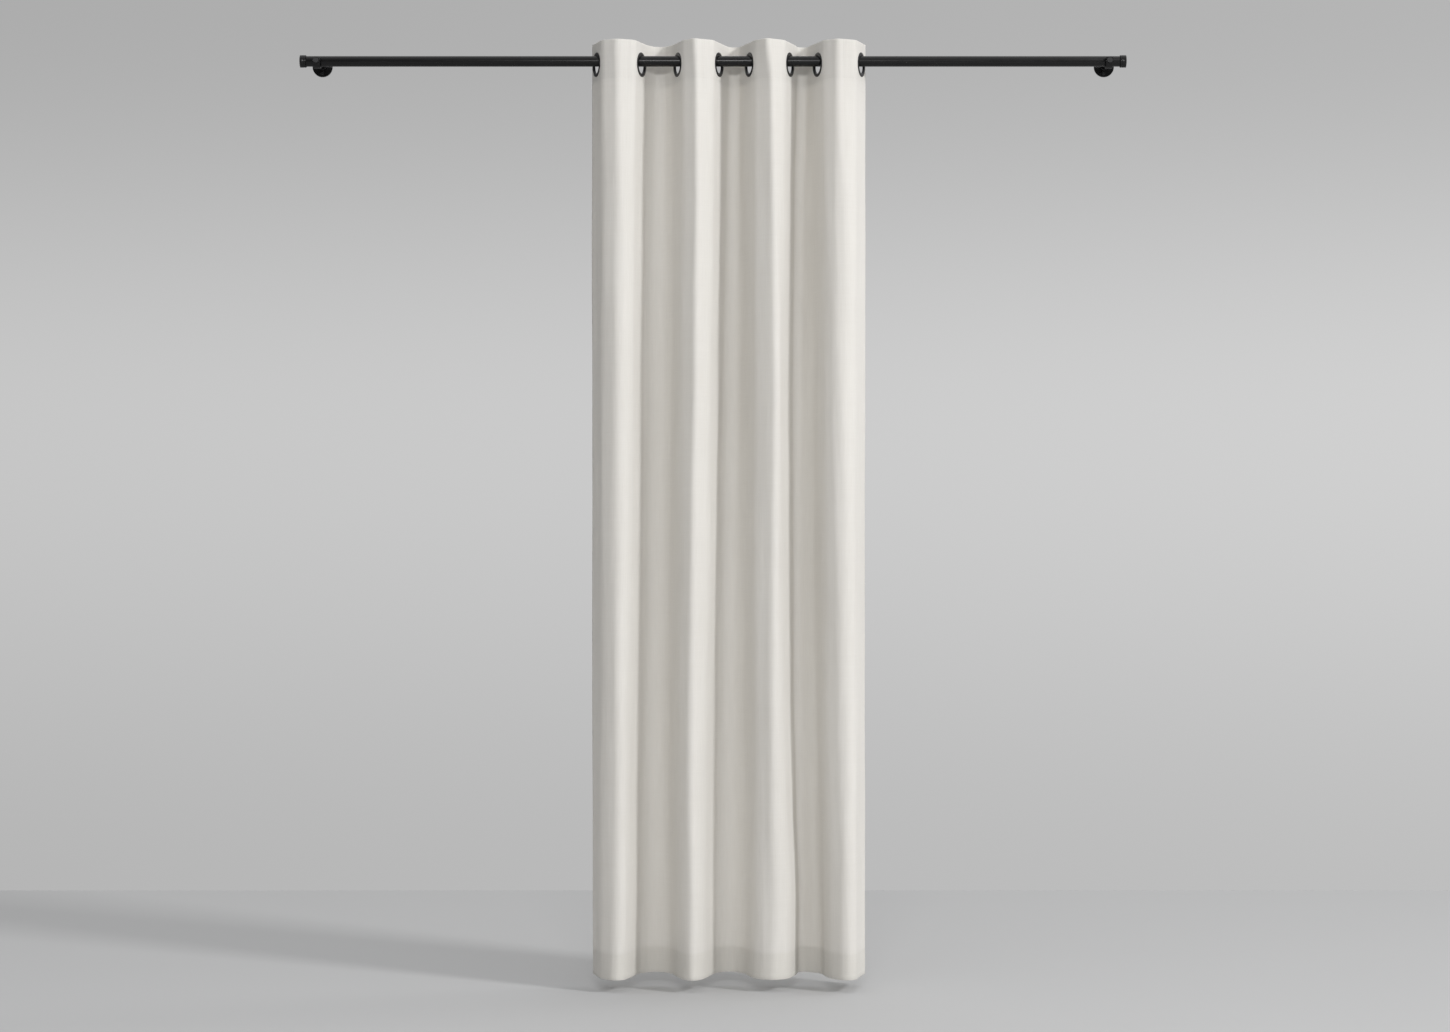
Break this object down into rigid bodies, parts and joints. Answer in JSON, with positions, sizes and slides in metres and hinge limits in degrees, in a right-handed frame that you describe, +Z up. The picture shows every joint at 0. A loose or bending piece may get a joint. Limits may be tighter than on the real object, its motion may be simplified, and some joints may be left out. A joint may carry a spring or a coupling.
{
  "type": "window curtains on a rod",
  "caption": "Pleated linen eyelet curtain on a round black wall-mounted rod; the folds draw along the rod and the rod lifts out of its open cradles.",
  "frame": {"origin": "centre of the left wall plate's back face, where it meets the wall, level with the rod's axis", "axes": "+X along the rod from the left bracket to the right, +Y into the wall, +Z up along the curtain's drop"},
  "size_m": [2.212, 0.1667, 2.5],
  "materials": {
    "linen_cloth": "matte",
    "heading_tape": "matte",
    "eyelet_metal": "satin",
    "rod_metal": "satin",
    "screw_metal": "satin"
  },
  "bodies": {
    "brackets": {"wall_plate_left": "rod_metal", "wall_screw_left_upper": "screw_metal", "wall_screw_left_lower": "screw_metal", "bracket_arm_left": "rod_metal", "rod_cradle_left": "rod_metal", "wall_plate_right": "rod_metal", "wall_screw_right_upper": "screw_metal", "wall_screw_right_lower": "screw_metal", "bracket_arm_right": "rod_metal", "rod_cradle_right": "rod_metal"},
    "rod": {"rod_tube": "rod_metal", "end_cap_left": "rod_metal", "end_cap_right": "rod_metal"},
    "lock_screw_left": {"lock_screw_left": "screw_metal"},
    "lock_screw_right": {"lock_screw_right": "screw_metal"},
    "strip_1": {"cloth_strip_1": "linen_cloth", "header_stiffener_1": "heading_tape", "eyelet_ring_1": "eyelet_metal", "eyelet_washer_1": "eyelet_metal"},
    "strip_2": {"cloth_strip_2": "linen_cloth", "header_stiffener_2": "heading_tape", "eyelet_ring_2": "eyelet_metal", "eyelet_washer_2": "eyelet_metal"},
    "strip_3": {"cloth_strip_3": "linen_cloth", "header_stiffener_3": "heading_tape", "eyelet_ring_3": "eyelet_metal", "eyelet_washer_3": "eyelet_metal"},
    "strip_4": {"cloth_strip_4": "linen_cloth", "header_stiffener_4": "heading_tape", "eyelet_ring_4": "eyelet_metal", "eyelet_washer_4": "eyelet_metal"},
    "strip_5": {"cloth_strip_5": "linen_cloth", "header_stiffener_5": "heading_tape", "eyelet_ring_5": "eyelet_metal", "eyelet_washer_5": "eyelet_metal"},
    "strip_6": {"cloth_strip_6": "linen_cloth", "header_stiffener_6": "heading_tape", "eyelet_ring_6": "eyelet_metal", "eyelet_washer_6": "eyelet_metal"},
    "strip_7": {"cloth_strip_7": "linen_cloth", "header_stiffener_7": "heading_tape", "eyelet_ring_7": "eyelet_metal", "eyelet_washer_7": "eyelet_metal"},
    "strip_8": {"cloth_strip_8": "linen_cloth", "header_stiffener_8": "heading_tape", "eyelet_ring_8": "eyelet_metal", "eyelet_washer_8": "eyelet_metal"}
  },
  "joints": [
    {"name": "rod_lift", "type": "slide", "parent": "brackets", "child": "rod", "axis": [0, 0, 1], "range_m": [0, 0.04]},
    {"name": "lock_screw_left_back_off", "type": "slide", "parent": "brackets", "child": "lock_screw_left", "axis": [0, -1, 0], "range_m": [0, 0.004]},
    {"name": "lock_screw_right_back_off", "type": "slide", "parent": "brackets", "child": "lock_screw_right", "axis": [0, -1, 0], "range_m": [0, 0.004]},
    {"name": "curtain_draw", "type": "hinge", "parent": "rod", "child": "strip_1", "pos_m": [0.749, -0.1, 0], "axis": [0, 0, 1], "range_deg": [-20, 14]},
    {"name": "fold_1", "type": "hinge", "parent": "strip_1", "child": "strip_2", "pos_m": [0.808, -0.15651, 0], "axis": [0, 0, 1], "range_deg": [-28, 40]},
    {"name": "fold_2", "type": "hinge", "parent": "strip_2", "child": "strip_3", "pos_m": [0.9165, -0.03061, 0], "axis": [0, 0, 1], "range_deg": [-40, 28]},
    {"name": "fold_3", "type": "hinge", "parent": "strip_3", "child": "strip_4", "pos_m": [1.0205, -0.16469, 0], "axis": [0, 0, 1], "range_deg": [-28, 40]},
    {"name": "fold_4", "type": "hinge", "parent": "strip_4", "child": "strip_5", "pos_m": [1.1165, -0.0231, 0], "axis": [0, 0, 1], "range_deg": [-40, 28]},
    {"name": "fold_5", "type": "hinge", "parent": "strip_5", "child": "strip_6", "pos_m": [1.2115, -0.16563, 0], "axis": [0, 0, 1], "range_deg": [-28, 40]},
    {"name": "fold_6", "type": "hinge", "parent": "strip_6", "child": "strip_7", "pos_m": [1.303, -0.01981, 0], "axis": [0, 0, 1], "range_deg": [-40, 28]},
    {"name": "fold_7", "type": "hinge", "parent": "strip_7", "child": "strip_8", "pos_m": [1.3985, -0.16001, 0], "axis": [0, 0, 1], "range_deg": [-28, 40]}
  ],
  "couplings": [
    {"joint": "fold_1", "follows": "curtain_draw", "ratio": -2},
    {"joint": "fold_2", "follows": "curtain_draw", "ratio": 2},
    {"joint": "fold_3", "follows": "curtain_draw", "ratio": -2},
    {"joint": "fold_4", "follows": "curtain_draw", "ratio": 2},
    {"joint": "fold_5", "follows": "curtain_draw", "ratio": -2},
    {"joint": "fold_6", "follows": "curtain_draw", "ratio": 2},
    {"joint": "fold_7", "follows": "curtain_draw", "ratio": -2}
  ]
}
